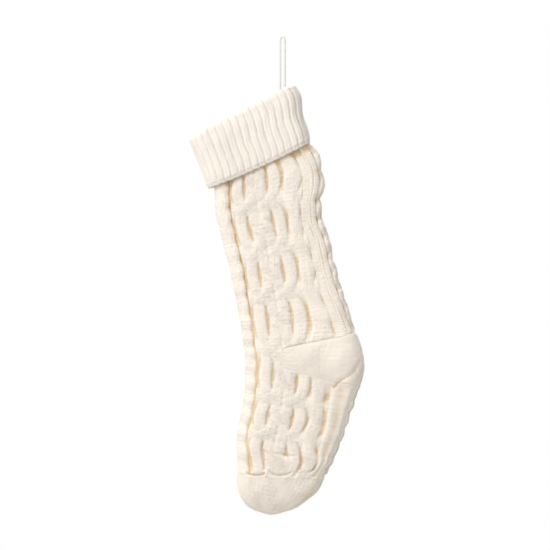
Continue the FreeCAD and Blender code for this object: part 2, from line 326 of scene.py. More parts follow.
class Field:
    """Height of the fabric over its ground, with stitch coordinates along each strand."""

    def __init__(self, across, t):
        self.across = across + 0.55 * drift_across(across / 40, t / 30)
        self.t = t + 0.9 * drift_down(across / 30, t / 40)
        self.height = np.zeros_like(across)
        self.u = self.t.copy()
        self.v = self.across.copy()
        self.yarn = np.zeros_like(across)
        # How much painted shade, darker and more orange, to lay on the colour here.
        self.painted_warm_shade = np.zeros_like(across)

    def strand(self, centre, slope, half, crest, lift):
        """Lay one rounded strand over what is there."""
        wide = half * np.sqrt(1 + slope * slope)
        x = (self.across - centre) / wide
        round_top = np.clip(1 - np.abs(x) ** 3.4, 0, 1) ** 0.55
        top = crest * round_top + lift * np.clip(1.2 - x * x, 0, 1)
        show = (np.abs(x) < 1) & (top > self.height)
        fill = np.clip(1.2 - np.abs(top - self.height), 0, 1.2) ** 2 / 4.8
        self.height = np.maximum(top, self.height) + fill * (np.abs(x) < 1)
        self.u = np.where(show, self.t * np.sqrt(1 + slope * slope), self.u)
        self.v = np.where(show, x * half, self.v)
        self.yarn = np.where(show, round_top, self.yarn)

    def pad(self, centre, half, turns, long, crest):
        """Where two strands cross they fill one rounded patch of the fabric."""
        x = (self.across - centre) / half
        round_top = np.clip(1 - np.abs(x) ** 3 - np.abs(turns / long) ** 3, 0, 1) ** 0.4
        top = crest * round_top
        show = top > self.height
        self.height = np.where(show, top, self.height)
        self.yarn = np.where(show, round_top, self.yarn)

    def rope(self, centre, pitch, radius, half, crest, start=0.0, lift=0.3):
        """Two strands twisted round each other; pitch is from crossing to crossing."""
        for which in (0, 1):
            angle = math.pi * ((self.t - start) / pitch + which)
            middle = centre + radius * np.cos(angle)
            slope = -radius * math.pi / pitch * np.sin(angle)
            self.strand(middle, slope, half, crest, lift * np.sin(angle))

    def plait(self, centre, half, crest, widen=1.0):
        """Four strands plaited flat."""
        turns = plait_turns(self.across, self.t)
        pace = (plait_turns(self.across, self.t + 2) - plait_turns(self.across, self.t - 2)) / 4
        breath = np.cos(2 * math.pi * turns)
        whole = turns - np.round(turns)
        between = turns - np.floor(turns) - 0.5
        self.pad(centre, widen * 13.2, whole, 0.36, crest)
        for hand in (-1, 1):
            self.pad(centre + hand * widen * 15.0, widen * 12.6, between, 0.25, crest)
        for which in range(4):
            place, lift = strand_path(turns + which)
            ahead, _ = strand_path(turns + which + 0.01)
            outside = smooth((np.abs(place) - INNER) / (OUTER - INNER))
            place_now = place + np.sign(place) * outside * 1.4 * breath
            slope = (ahead - place) / 0.01 * pace * widen
            lift = np.where(lift > 0, 0.22, 0.6) * lift
            self.strand(centre + widen * place_now, slope, half, crest, lift)

    def web(self, centre, left, right, height):
        """The ground drawn up between the strands, except where the plait opens."""
        turns = plait_turns(self.across, self.t)
        whole = turns - np.round(turns)
        between = turns - np.floor(turns) - 0.5
        x = self.across - centre
        row = 0.72 * np.exp(-(whole / 0.37) ** 4)
        middle = 0.28 * np.exp(-(x / 2.4) ** 4 - (between / 0.15) ** 4)
        inside = plateau(x, left, right, 2, 2)
        self.height = np.maximum(self.height, height * inside * (1 - np.maximum(row, middle)))

    def purl(self, low, high, height):
        """A band of purl bumps between two columns."""
        band = plateau(self.across, low, high, 1.5, 1.5)
        self.height = np.maximum(self.height, height * band)

    def scallops(self, centre, reach, pitch, start, tall):
        """Lumps of the cable that stand out along the tube's edge."""
        lump = np.abs(np.sin(math.pi * (self.t - start) / pitch)) - 0.55
        self.height += tall * lump * bell(self.across - centre, reach)

    def wales(self, low, high, pitch, tall, share):
        """Lengthwise ridges between two columns, with a deeper line before the first."""
        band = plateau(self.across, low, high, 2, 6)
        ridge = np.cos(2 * math.pi * (self.across - low) / pitch + math.pi)
        self.height += tall * ridge * band * share
        self.height -= 1.5 * bell(self.across - low + 0.6, 1.2) * share

    def box(self, centre, half, top, bottom, crest):
        """The last cell of the plait: a plain rounded block with a crease along its top."""
        x = (self.across - centre) / half
        y = (2 * self.t - top - bottom) / (bottom - top)
        block = crest * np.clip(1 - np.abs(x) ** 4 - np.abs(y) ** 6, 0, 1) ** 0.5
        self.height = np.maximum(self.height, block)
        crease = bell(self.t - top, 1.6) * smooth(1.5 - 1.5 * np.abs(x))
        self.height -= 1.5 * crease

    def stitches(self, depth):
        """V-shaped stitches on the strands and bars of purl between them."""
        p, vee = stitch_shape(self.v / STITCH, self.u / ROW)
        vee = vee * (1 - 0.5 * bell(p, 0.12))
        bars = 0.5 + 0.5 * np.cos(2 * math.pi * self.t / ROW)
        knit = smooth(self.yarn * 2.5)
        rungs = 0.3 + 1.0 * smooth((2.6 - self.height) / 1.6)
        self.height += depth * (knit * (vee - 0.5) + (1 - knit) * rungs * (bars - 0.3))
        self.height += 0.26 * drift_height(self.across / 14, self.t / 14)
        self.height += 0.16 * drift_stitch(self.across / 3.6, self.t / 3.4)


def cable_panel(across, t, side):
    """Height field of a cable panel; side says where its plait and ropes are."""
    field = Field(across, t)
    field.purl(*side["purl_left"], PURL)
    field.purl(*side["purl_right"], PURL)
    field.web(side["plait"], *side["web"], WEB)
    field.plait(side["plait"], side["strand"], CREST, side["widen"])
    turns = plait_turns(field.across, field.t)
    sway = side["sway"] * (0.5 - 0.5 * np.cos(2 * math.pi * turns))
    for rope in side["ropes"]:
        centre, pitch, radius, half, crest, start, moves = rope
        field.rope(centre + sway * moves, pitch, radius, half, crest, start)
    tall = 1.3 + 2.6 * smooth((HEM_DOWN + 75 - field.t) / 30)
    tall = tall * smooth((DOWN[5] - field.t) / 20)
    field.scallops(QUARTER, reach=8.0, pitch=25.3, start=HEM_DOWN + 23.4, tall=tall)
    sole = 1.9 * plateau(field.t, DOWN[6] + 26, ROOT_DOWN - 8, 12, 12)
    field.scallops(SEAM + 8, reach=9.0, pitch=17.0, start=DOWN[6], tall=sole)
    beside_sole = plateau(field.t, DOWN[6] + 12, ROOT_DOWN - 3, 15, 10)
    field.wales(low=38.0, high=62.0, pitch=5.6, tall=0.85, share=beside_sole)
    if "box" in side:
        field.box(*side["box"], CREST)
    return field


FRONT = {
    "plait": -11.5,
    "widen": 1.0,
    "strand": 7.6,
    "web": (-33.4, 52.0),
    "sway": -2.6,
    "ropes": (
        (-55.2, 22.0, 1.5, 9.3, 4.9, 6.0, 0),
        (30.4, 27.0, 1.5, 8.2, 4.9, 10.0, 1),
    ),
    "purl_left": (-76.0, -66.5),
    "purl_right": (38.0, 48.5),
}
BACK = {
    "plait": 112.0,
    "widen": 1.12,
    "strand": 8.3,
    "web": (-50.0, 50.0),
    "sway": 0.0,
    "ropes": (
        (66.5, 22.0, 2.8, 8.2, 5.0, 20.0, 0),
        (158.0, 24.0, 2.4, 8.4, 4.9, 3.0, 0),
    ),
    "purl_left": (49.5, 57.0),
    "purl_right": (168.0, 177.5),
}

# ---------------- making a piece


def square_to(down, across):
    """Outward unit normals of a grid from its directions down and across."""
    normal = np.cross(down, across)
    size = np.linalg.norm(normal, axis=-1, keepdims=True)
    normal = normal / np.maximum(size, 1e-9)
    normal[size[..., 0] < 1e-4] = (0, 0, -1)
    return normal


def normals_of(points):
    """Outward unit normals of a grid of points."""
    return square_to(np.gradient(points, axis=0), np.gradient(points, axis=1))


def split(low, high, size):
    """An even row of positions from low to high, in whole groups of STEP cells."""
    count = max(STEP, STEP * round((high - low) / size / STEP))
    return np.linspace(low, high, count + 1)


def placed(name, data):
    """A new object in the scene."""
    piece = bpy.data.objects.new(name, data)
    bpy.context.scene.collection.objects.link(piece)
    return piece


def make_mesh(name, outside, inside, crest, yarn_uv, keep=None):
    """A closed piece of fabric: a fine outside, a coarse inside, and an edge between them."""
    rows, columns = outside.shape[0] - 1, outside.shape[1] - 1
    big_rows, big_columns = rows // STEP, columns // STEP
    if keep is None:
        keep = np.ones((big_rows, big_columns), bool)
    inner = inside[::STEP, ::STEP]
    fine = np.arange((rows + 1) * (columns + 1)).reshape(rows + 1, columns + 1)
    coarse = fine.size + np.arange(inner.shape[0] * inner.shape[1]).reshape(inner.shape[:2])
    wide = np.repeat(np.repeat(keep, STEP, 0), STEP, 1)
    quads = np.stack([fine[:-1, :-1], fine[1:, :-1], fine[1:, 1:], fine[:-1, 1:]], -1)[wide]
    backs = np.stack([coarse[:-1, :-1], coarse[:-1, 1:], coarse[1:, 1:], coarse[1:, :-1]], -1)[keep]
    faces = quads.tolist() + backs.tolist()
    padded = np.pad(keep, 1)
    for i, j in np.argwhere(keep):
        a, b = i * STEP, j * STEP
        down = slice(a, a + STEP + 1)
        along = slice(b, b + STEP + 1)
        sides = (
            (padded[i + 1, j], fine[down, b], coarse[i, j], coarse[i + 1, j]),
            (padded[i + 2, j + 1], fine[a + STEP, along], coarse[i + 1, j], coarse[i + 1, j + 1]),
            (padded[i + 1, j + 2], fine[down, b + STEP][::-1], coarse[i + 1, j + 1], coarse[i, j + 1]),
            (padded[i, j + 1], fine[a, along][::-1], coarse[i, j + 1], coarse[i, j]),
        )
        for neighbour, edge, start, end in sides:
            if not neighbour:
                faces.append(edge[::-1].tolist() + [int(start), int(end)])
    points = np.concatenate([outside.reshape(-1, 3), inner.reshape(-1, 3)])
    crests = np.concatenate([crest.ravel(), crest[::STEP, ::STEP].ravel()])
    places = np.concatenate([yarn_uv.reshape(-1, 2), yarn_uv[::STEP, ::STEP].reshape(-1, 2)])
    used = np.zeros(len(points), bool)
    for face in (quads, backs):
        used[face.ravel()] = True
    number = np.cumsum(used) - 1
    faces = [[int(number[v]) for v in face] for face in faces]
    mesh = bpy.data.meshes.new(name)
    mesh.from_pydata((points[used] * MM).tolist(), [], faces)
    smooth_faces = np.zeros(len(faces), bool)
    smooth_faces[:len(quads) + len(backs)] = True
    mesh.polygons.foreach_set("use_smooth", smooth_faces)
    # The materials turn this height into painted shade in the hollows of the knit.
    layer = mesh.attributes.new("crest", "FLOAT", "POINT")
    layer.data.foreach_set("value", crests[used].astype(np.float32))
    uv = mesh.uv_layers.new(name="yarn")
    loop_vertex = np.zeros(len(mesh.loops), np.int32)
    mesh.loops.foreach_get("vertex_index", loop_vertex)
    uv.data.foreach_set("uv", places[used][loop_vertex].astype(np.float32).ravel())
    mesh.update()
    return placed(name, mesh)


def ground_normals(across, t, reach=0.6):
    """Outward unit normals of the tube's ground, the same for every piece that meets there."""
    s = around(across, t)
    last = END_DOWN - 0.05
    down = outline(around(across, np.minimum(t + reach, last)), np.minimum(t + reach, last))
    down = down - outline(around(across, t - reach), t - reach)
    return square_to(down, outline(s + reach, t) - outline(s - reach, t))


def fabric(name, across, t, field, keep=None, wall=WALL):
    """A piece of the tube from its columns, its rows and its height field."""
    ground = outline(around(across, t), t)
    normal = ground_normals(across, t)
    outside = ground + normal * field.height[..., None]
    inside = ground - normal * wall
    # The crest attribute sets the colour: lower fabric gets more painted shade, darker and more orange,
    # and the field's own painted shade lowers it further.
    crest = np.clip(field.height / 5.2 - field.painted_warm_shade, 0, 1.2)
    uv = np.stack([field.v / STITCH, field.u / ROW], -1)
    return make_mesh(name, outside, inside, crest, uv, keep)


def rows_between(upper, lower, size=CELL):
    """Rows of t from one edge to another; an edge is one t, or one for each column."""
    count = len(split(0, float(np.mean(lower - upper)), size))
    f = np.linspace(0, 1, count)[:, None]
    return upper * (1 - f) + lower * f

# ---------------- leg

HIDDEN_TOP = 12.0  # how far the leg reaches up inside the cuff
ANKLE = "leg", "foot"  # the bodies on both sides of the ankle


def tuck_under_cuff(field):
    """Flatten the knit where the cuff covers it, and paint shade, darker and more orange, on it under
    the cuff and just below the hem.
    """
    inside = smooth((HEM_DOWN - 2 - field.t) / 8)
    field.height = field.height * (1 - 0.55 * inside)
    field.painted_warm_shade = 0.55 * smooth((HEM_DOWN + 8 - field.t) / 9)


def panel_columns(low, high):
    """Columns of a cable panel, with one at the heel's inner point, and which one that is."""
    point = column_at_x(low, high, HEEL_POINT[0], HEEL_POINT[1])
    first = split(low, point, CELL)
    second = split(point, high, CELL)
    return np.concatenate([first, second[1:]]), len(first) - 1


def column_at_x(low, high, x, level):
    """The column that passes through x at a level."""
    tries = np.linspace(low, high, 200)
    found = x_at(tries, level)
    order = np.argsort(found)
    return float(np.interp(x, found[order], tries[order]))


def leg_panel(name, low, high, side):
    """A cable panel of the leg, from under the cuff to the ankle."""
    columns, _ = panel_columns(low, high)
    t = rows_between(HEM_DOWN - HIDDEN_TOP, down_at(columns, ANKLE_LEVEL))
    across = np.broadcast_to(columns, t.shape).copy()
    field = cable_panel(across, t, side)
    field.stitches(STITCH_DEPTH)
    tuck_under_cuff(field)
    return fabric(name, across, t, field)


leg_front = leg_panel("leg_front_knit", INSTEP_SEAM, SEAM, FRONT)
leg_back = leg_panel("leg_back_knit", SEAM, SEAM + BACK_WIDTH, BACK)

# ---------------- foot, heel and toe


def heel_edges(columns):
    """Upper and lower edge of the heel, as t for each column, on the front or the back."""
    point_x, high, low = HEEL_POINT
    bend_x, bend_z = HEEL_BEND
    x = np.maximum(x_at(columns, high), point_x)
    upper = high + (x - point_x) * HEEL_TOP_SLOPE - HEEL_SAG * hump((x - 58) / 62)
    upper = upper - HEEL_DROP * smooth((x - 45) / 42)
    first = low + (x - point_x) * (bend_z - low) / (bend_x - point_x)
    lower = np.where(x < bend_x, first, bend_z + (x - bend_x) * HEEL_LOW_SLOPE)
    return down_at(columns, upper), down_at(columns, lower)


# The groove beside the sole runs up over the heel in front: x and z of its corners.
HEEL_GROOVE = ((61, -419), (68, -411), (77, -406), (84, -399), (88, -388))


def heel_groove(field, across, t):
    """Sink that groove into a height field, with painted shade, darker and more orange, in it."""
    place = outline(around(across, t), t)
    x, z = place[..., 0], place[..., 2]
    nearest = np.full_like(x, 99.0)
    for (x0, z0), (x1, z1) in zip(HEEL_GROOVE, HEEL_GROOVE[1:]):
        long = (x1 - x0) ** 2 + (z1 - z0) ** 2
        f = np.clip(((x - x0) * (x1 - x0) + (z - z0) * (z1 - z0)) / long, 0, 1)
        nearest = np.minimum(nearest, np.hypot(x - x0 - f * (x1 - x0), z - z0 - f * (z1 - z0)))
    front = place[..., 1] < 0
    share = plateau(z, -424, -386, 6, 8) * front
    field.height -= 2.1 * share * bell(nearest, 1.7)
    field.painted_warm_shade = np.maximum(field.painted_warm_shade, 0.36 * share * bell(nearest, 1.5))


def lie_plain(field, share, t):
    """Where the fabric is plain, its stitches run straight down in even columns."""
    plain = share > 0.5
    field.yarn = np.maximum(field.yarn, share)
    field.u = np.where(plain, t, field.u)
    field.v = np.where(plain, field.across, field.v)


def end_of_cables(field, side, root, t):
    """The cables run out into the plain toe in rounded ends."""
    gap = root - t
    plain = bell(np.maximum(gap, 0), 2.0)
    groove = np.zeros_like(gap)
    for centre, half, low, tall, deep in side["ends"]:
        x = (field.across - centre) / half
        arch = low + tall * (1 - np.sqrt(np.clip(1 - x * x, 0, 1)))
        inside = np.abs(x) < 1
        below = smooth((arch - gap) / 1.5) * inside
        plain = np.maximum(plain, below)
        edge = smooth((1 - np.abs(x)) * 6)
        groove = np.maximum(groove, deep * bell(gap - arch, 1.7) * edge)
    field.height = np.maximum(field.height * (1 - plain) + PLAIN * plain - groove, 1.2)
    lie_plain(field, plain, t)


# The plait's last cell on the foot: across, half width, and how far down it starts and ends.
BOX_TOP = float(np.interp(499, -MIDDLE_Z, FINE))
FRONT["box"] = (0.5, 18.0, BOX_TOP, BOX_TOP + 33)
# Rounded ends of the cables at the toe: across, half width, distance from the toe, height, depth.
FRONT["ends"] = (
    (-36, 13, 3.0, 4.0, 2.4),
    (-3, 17, 3.5, 8.0, 2.2),
    (31, 10, 8.0, 9.0, 0.9),
)
BACK["ends"] = (
    (66, 10, 4.0, 6.0, 2.5),
    (92, 12, 4.0, 6.0, 2.5),
    (132, 12, 4.0, 6.0, 2.5),
    (158, 10, 4.0, 6.0, 2.5),
)


def foot_panel(name, low, high, side):
    """A cable panel of the foot with the heel's wedge left out."""
    front = high == SEAM
    columns, at_point = panel_columns(low, high)
    point = columns[at_point]
    upper, lower = heel_edges(columns)
    toe = down_at(columns, TOE_LEVEL)
    above = rows_between(down_at(columns, ANKLE_LEVEL), upper)
    middle = rows_between(upper, lower)
    below = rows_between(lower, toe)
    t = np.concatenate([above, middle[1:], below[1:]])
    across = np.broadcast_to(columns, t.shape).copy()
    keep = np.ones(((len(t) - 1) // STEP, (len(columns) - 1) // STEP), bool)
    top, bottom = (len(above) - 1) // STEP, (len(above) + len(middle) - 2) // STEP
    heel_side = slice(at_point // STEP, None) if front else slice(0, at_point // STEP)
    keep[top:bottom, heel_side] = False
    field = cable_panel(across, t, side)
    past = (across - point) if front else (point - across)
    above_heel = smooth(past / 4 + 0.5) * np.exp(-np.abs(t - upper) / 2.0) * (t <= upper)
    below_heel = smooth(past / 4 + 1) * bell(np.maximum(t - lower, 0), 4) * (t >= lower - 0.01)
    beside = bell(np.minimum(past, 0), 3) * (t > upper) * (t < lower)
    flush = np.maximum(below_heel, beside * (past <= 0.01))
    field.height = field.height * (1 - flush) + PLAIN * flush
    lie_plain(field, flush, t)
    rolled = 4.6 - 1.3 * bell(t - upper, 1.4)
    field.height += (rolled - field.height) * above_heel
    end_of_cables(field, side, toe, t)
    field.stitches(STITCH_DEPTH)
    heel_groove(field, across, t)
    return fabric(name, across, t, field, keep)


def plain_field(across, t, wrinkle, dip=0.0):
    """Plain knit: wrinkle is the height of its folds, and dip the share of its height it loses."""
    field = Field(across, t)
    place = outline(around(across, t), t)
    folds = drift_wrinkle(place[..., 0] / 20, place[..., 2] / 20)
    field.height = PLAIN * (1 - dip) + wrinkle * folds
    field.yarn = np.ones_like(t)
    field.stitches(STITCH_DEPTH * smooth(1.6 * arc(t) / (4 * QUARTER) - 0.3))
    return field


def heel_panel(name, low, high, point):
    """Half of the heel, from its inner point to its seam at the back."""
    columns = split(low, high, PLAIN_CELL)
    upper, lower = heel_edges(columns)
    t = rows_between(upper, lower, PLAIN_CELL)
    across = np.broadcast_to(columns, t.shape).copy()
    inward = np.abs(across - point)
    crease = 0.30 * np.exp(-(np.abs(t - upper) / 2.2) ** 1.5)
    border = np.minimum(np.minimum(t - upper, lower - t), inward)
    field = plain_field(across, t, 0.7 * smooth(border / 9), crease)
    middle = (t - upper) / (lower - upper)
    field.height += 1.6 * hump(2 * middle - 1) * smooth(inward / 25)
    heel_groove(field, across, t)
    return fabric(name, across, t, field)


def toe_panel(name, low, high):
    """Half of the closed toe."""
    columns = split(low, high, PLAIN_CELL)
    root = down_at(columns, TOE_LEVEL)
    count = len(split(0, 62, PLAIN_CELL))
    f = 1 - (1 - np.linspace(0, 1, count)[:, None]) ** 1.7
    t = root * (1 - f) + (END_DOWN - 0.02) * f
    across = np.broadcast_to(columns, t.shape).copy()
    field = plain_field(across, t, 0.7 * smooth((t - root) / 10))
    # Painted shade, darker and more orange, on the sole side of the toe.
    field.painted_warm_shade = 0.47 * plateau(across, 8, SEAM + 40, 36, 30) * smooth((t - root - 2) / 16)
    return fabric(name, across, t, field)


HEEL_SEAM = 58.0
foot_front = foot_panel("foot_front_knit", INSTEP_SEAM, SEAM, FRONT)
foot_back = foot_panel("foot_back_knit", SEAM, SEAM + BACK_WIDTH, BACK)
heel_in_front = column_at_x(INSTEP_SEAM, SEAM, HEEL_POINT[0], HEEL_POINT[1])
heel_in_back = column_at_x(SEAM, SEAM + BACK_WIDTH, HEEL_POINT[0], HEEL_POINT[1])
heel_front = heel_panel("heel_front_knit", heel_in_front, HEEL_SEAM, heel_in_front)
heel_back = heel_panel("heel_back_knit", HEEL_SEAM, heel_in_back, heel_in_back)
toe_front = toe_panel("toe_front_knit", INSTEP_SEAM, SEAM)
toe_back = toe_panel("toe_back_knit", SEAM, SEAM + BACK_WIDTH)

# ---------------- seams

RUNG = ROW * 1.15  # distance between the bars of a seam
# Half width and height of each kind of seam.
HEEL_SIDE = (2.9, 4.4)
INSTEP_SIDE = (2.9, 4.2)
NARROW = (1.6, 5.6)


def end_of_strip(columns, end):
    """How far down a strip ends: at a level, which is negative, or at a distance t."""
    return down_at(columns, end) if end < 0 else np.full(len(columns), end)


def seam_strip(name, column, kind, top, bottom):
    """A linking seam down a column, of one of the kinds above: a ridge with bars across it."""
    half, height = kind
    columns = split(column - half, column + half, 0.42)
    upper, lower = [end_of_strip(columns, end) for end in (top, bottom)]
    t = rows_between(upper, lower, 0.5)
    across = np.broadcast_to(columns, t.shape).copy()
    field = Field(across, t)
    x = (across - column) / half
    round_top = np.clip(1 - np.abs(x) ** 2.5, 0, 1) ** 0.5
    bar = 0.5 + 0.5 * np.cos(2 * math.pi * (field.t / RUNG + 0.12 * x))
    rail = bell(x + 0.55, 0.25)
    field.height = height * round_top * (0.82 + 0.11 * bar * (1 - rail) + 0.09 * rail) - 0.3
    field.yarn = round_top
    field.v = across - column
    return fabric(name, across, t, field, wall=0.8)


LEG_SEAM_END = heel_edges(np.array([SEAM, SEAM]))[0][0] + 0.6
HEEL_SEAM_START = heel_edges(np.array([HEEL_SEAM, HEEL_SEAM]))[0][0] + 1.0
SEAM_START = HEM_DOWN - HIDDEN_TOP
leg_seam_heel = seam_strip("leg_seam_heel_knit", SEAM, HEEL_SIDE, SEAM_START, LEG_SEAM_END)
leg_seam_instep = seam_strip("leg_seam_instep_knit", INSTEP_SEAM, INSTEP_SIDE, SEAM_START, ANKLE_LEVEL)
foot_seam_instep = seam_strip("foot_seam_instep_knit", INSTEP_SEAM, INSTEP_SIDE, ANKLE_LEVEL, TOE_LEVEL)
foot_seam_sole = seam_strip("foot_seam_sole_knit", SEAM, HEEL_SIDE, HEEL_BEND[1] - 9, TOE_LEVEL)
heel_seam = seam_strip("heel_seam_knit", HEEL_SEAM, NARROW, HEEL_SEAM_START, HEEL_BEND[1] - 18)
toe_seam = seam_strip("toe_seam_knit", SEAM + 8, NARROW, TOE_LEVEL, TOE_END[1] + 6)

# ---------------- cuff

RIBS = 35  # all round the cuff
RIB_HEIGHT = 2.1
CUFF_ROUND = 320  # the way round the cuff, for spacing its mesh
CUFF_LEAN = 2.0  # how far the cuff's outer layer sits towards the instep
CUFF_WAIST = 1.6  # how far the cuff's sides pull in between the fold and the hem
HEM_BOW = 2.2  # how far the hem rises at its two ends
FOLD_DROP = 3.0  # how far the fold drops at its heel-side end
LOOP_ROOM = 2.4  # how much the mouth opens round the loop
# The cuff's fabric from inside the mouth over the rolled fold and down to its hem: place
# between mouth (0) and hem (1), distance outside the lining, rise above the section.
CUFF_WAY = (
    (0.0, -3.9, -13.0),
    (0.0, -3.8, -4.0),
    (0.0, -3.5, 0.5),
    (0.0, -2.6, 3.2),
    (0.0, -0.6, 4.6),
    (0.0, 1.6, 3.4),
    (0.0, 2.9, 0.4),
    (0.0, 3.4, -5.0),
    (0.5, 3.3, 0.0),
    (0.92, 3.4, 0.0),
    (1.0, 3.2, 3.0),
    (1.0, 2.6, 1.0),
    (1.0, 1.2, 0.6),
)


def ring(q, place, spread, rise):
    """A point round the cuff: q is the share of the way round from the front's middle."""
    ends = [np.array(SECTIONS[name], float) for name in ("mouth", "hem")]
    x, z, tilt, width, depth = [ends[0][k] * (1 - place) + ends[1][k] * place for k in range(5)]
    tilt = np.radians(tilt)
    straight = width - depth
    radius = depth + spread
    s = q * (4 * straight + 2 * math.pi * radius)
    side, s, turn, past = round_flat_ring(s, straight, radius)
    half = math.pi * radius / 2
    near = smooth(2 - 2 * np.abs(s - straight - half) / (half + 16)) * (side > 0)
    radius = radius + LOOP_ROOM * near * smooth(-spread / 3) * (1 - place)
    reach = side * (np.where(s < straight, s, straight + radius * np.sin(turn)) - past)
    bow = HEM_BOW * (reach / width) ** 2 * place
    bow = bow - FOLD_DROP * smooth((reach / width - 0.8) / 0.3) * (1 - place)
    waist = 4 * place * (1 - place)
    x = x - CUFF_LEAN * smooth((spread - 1.2) / 1.6) - CUFF_WAIST * side * waist * smooth(s / width)
    x = x + reach * np.cos(tilt) - (rise + bow) * np.sin(tilt)
    z = z + reach * np.sin(tilt) + (rise + bow) * np.cos(tilt)
    return np.stack([x, -radius * np.cos(turn), z], -1)


def smooth_way(way, size):
    """Even steps along a smooth line through the points of a way."""
    way = np.array(way, float)
    middle = np.stack([-66 * way[:, 0] + way[:, 2], way[:, 1]], -1)
    gaps = np.hypot(*np.diff(middle, axis=0).T)
    knots = np.concatenate([[0], np.cumsum(gaps)])
    t = split(0, knots[-1], size)
    return t, smooth_line(t, knots, way)


def ribs(q, u, height):
    """Height, stitch column and crest of the ribbing."""
    wave = 0.028 * drift_across(q * 9, u / 34) + 0.022 * drift_down(q * 30, u / 11)
    wave = wave + 0.02 * drift_stitch(q * 90, u / 4)
    rib = q * RIBS + wave
    x = 2 * (rib - np.floor(rib)) - 1
    crest = np.clip(1 - np.abs(x) ** 3.4, 0, 1) ** 0.6
    _, vee = stitch_shape(1.5 * x, u / ROW)
    tall = height * crest * (1 + 0.16 * drift_height(q * 40, u / 20)) + 0.7 * (vee - 0.5) * crest
    return tall, rib, crest


def cuff_ground(shares, t, path):
    """Grids of a cuff piece: shares of the way round, distances down, and the ground there."""
    q, u = np.meshgrid(shares, t)
    place, spread, rise = [np.broadcast_to(path[:, k:k + 1], q.shape) for k in range(3)]
    ground = ring(q, place, spread, rise)
    return q, u, place, spread, ground, normals_of(ground)


def cuff_piece(name, low, high, way, height, size=CELL, wall=1.8):
    """A ribbed piece of the cuff between two shares of the way round."""
    t, path = smooth_way(way, size)
    around_share = split(low * CUFF_ROUND, high * CUFF_ROUND, size) / CUFF_ROUND
    q, u, place, spread, ground, normal = cuff_ground(around_share, t, path)
    tall, rib, crest = ribs(q, u, height)
    tall = tall * (1 - 0.5 * smooth((place - 0.965) / 0.035))
    tall = tall * (1 - 0.6 * smooth((-1.5 - spread) / 2))
    uv = np.stack([rib * 3, u / ROW], -1)
    thin = np.minimum(1, (t[-1] - u) / 6 + 0.35) * wall
    # The crest attribute gives the valleys between the ribs painted shade.
    return make_mesh(name, ground + normal * tall[..., None], ground - normal * thin[..., None],
                     0.25 + 0.75 * crest, uv)


cuff_front = cuff_piece("cuff_front_rib", -0.25, 0.25, CUFF_WAY, RIB_HEIGHT)
cuff_back = cuff_piece("cuff_back_rib", 0.25, 0.75, CUFF_WAY, RIB_HEIGHT)
LINING_WAY = ((0.86, -3.6, 0.0), (0.5, -3.8, 0.0), (0.0, -4.2, -14.0))
lining_front = cuff_piece("cuff_lining_front_rib", -0.25, 0.25, LINING_WAY, 1.2, 1.2, 2.4)
lining_back = cuff_piece("cuff_lining_back_rib", 0.25, 0.75, LINING_WAY, 1.2, 1.2, 2.4)


def cuff_seam(name, middle):
    """The narrow linking seam at one side of the cuff."""
    t, path = smooth_way(CUFF_WAY[5:], 0.6)
    half = 1.5 / CUFF_ROUND
    share = np.linspace(middle - half, middle + half, 2 * STEP + 1)
    q, u, _, _, ground, normal = cuff_ground(share, t, path)
    x = (q - middle) / half
    bar = 0.5 + 0.5 * np.cos(2 * math.pi * u / (1.1 * ROW))
    tall = 1.9 * np.clip(1 - x * x, 0, 1) ** 0.5 * (0.7 + 0.3 * bar)
    uv = np.stack([x, u / ROW], -1)
    outside = ground + normal * tall[..., None]
    return make_mesh(name, outside, ground - normal * 0.4, 0.7 + 0.2 * bar, uv)


cuff_seam_instep = cuff_seam("cuff_seam_instep_knit", -0.25)
cuff_seam_heel = cuff_seam("cuff_seam_heel_knit", 0.25)

# ---------------- hanging loop

# The cord's way from the knot, round the hook and back, in metres.
HALF_GAP = 0.0028  # from the middle of the loop to the middle of each strand
LEVELS = (-0.0630, -0.0460, -0.0230, -0.0070, 0.0014)
ROUTE = (
    *[(-HALF_GAP, 0, z) for z in LEVELS],
    *[(HALF_GAP, 0, z) for z in LEVELS[::-1]],
)


def points_along(route, fineness=14):
    """Points on the NURBS line through a route's control points, in metres."""
    data = bpy.data.curves.new("route", "CURVE")
    data.dimensions = "3D"
    data.resolution_u = fineness
    spline = data.splines.new("NURBS")
    spline.points.add(len(route) - 1)
    for point, place in zip(spline.points, route):
        point.co = (*place, 1)
    spline.order_u = 3
    spline.use_endpoint_u = True
    holder = bpy.data.objects.new("route", data)
    mesh = bpy.data.meshes.new_from_object(holder)
    found = np.array([v.co for v in mesh.vertices])
    bpy.data.objects.remove(holder)
    bpy.data.meshes.remove(mesh)
    return found


def frames_along(points):
    """Two directions square to a line at each of its points, without twist."""
    tangent = np.gradient(points, axis=0)
    tangent = tangent / np.linalg.norm(tangent, axis=1, keepdims=True)
    side = np.cross(tangent[0], (0.1, 1, 0.2))
    sides = []
    for direction in tangent:
        side = side - direction * np.dot(side, direction)
        side = side / np.linalg.norm(side)
        sides.append(side)
    sides = np.array(sides)
    return sides, np.cross(tangent, sides)


def tube_faces(points, radius, sides, closed=False):
    """Vertices and faces of a tube round a line."""
    one, two = frames_along(points)
    angle = np.linspace(0, 2 * math.pi, sides, endpoint=False)
    ring_points = one[:, None] * np.cos(angle)[:, None] + two[:, None] * np.sin(angle)[:, None]
    verts = (points[:, None] + radius * ring_points).reshape(-1, 3)
    faces = []
    last = len(points) if closed else len(points) - 1
    for i in range(last):
        for j in range(sides):
            a, b = i * sides + j, i * sides + (j + 1) % sides
            n = (i + 1) % len(points) * sides
            faces.append((a, b, n + (j + 1) % sides, n + j))
    if not closed:
        faces.append(tuple(range(sides))[::-1])
        faces.append(tuple((len(points) - 1) * sides + j for j in range(sides)))
    return verts, faces


